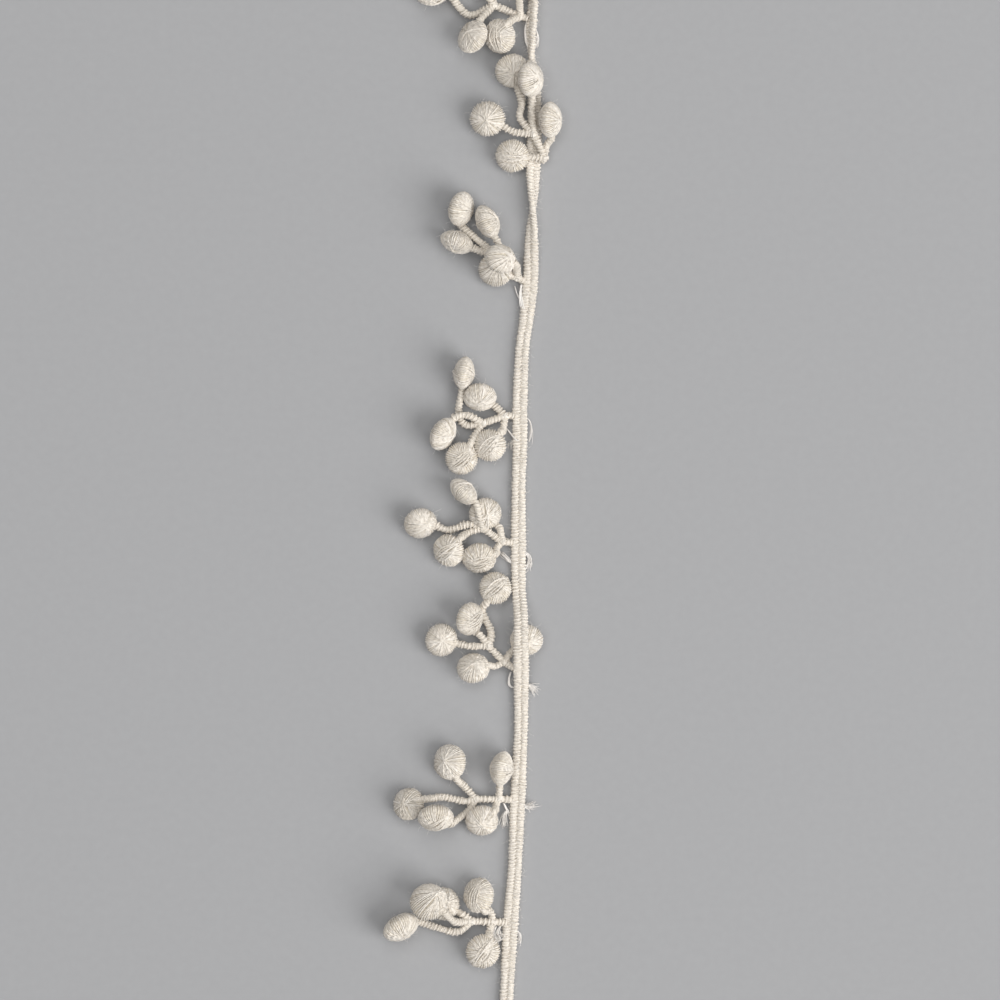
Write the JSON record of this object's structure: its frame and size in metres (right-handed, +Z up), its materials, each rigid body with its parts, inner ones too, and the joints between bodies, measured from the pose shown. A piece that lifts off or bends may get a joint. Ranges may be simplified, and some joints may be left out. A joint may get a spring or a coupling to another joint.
{
  "type": "berry lace trim",
  "caption": "Cut length of cream cotton guipure trim: a heading of two wrapped cords with eight forked sprays of five padded berries, lying flat.",
  "frame": {"origin": "middle of the heading's flat underside, half way along the length in view", "axes": "+Y along the heading, +Z up from the surface that the trim lies on, the sprays lie towards -X"},
  "size_m": [0.0446, 0.2631, 0.011],
  "materials": {
    "cotton_thread": "matte cream cotton thread with a slight sheen"
  },
  "bodies": {
    "root": {"berry_trim": "cotton_thread"}
  },
  "joints": []
}
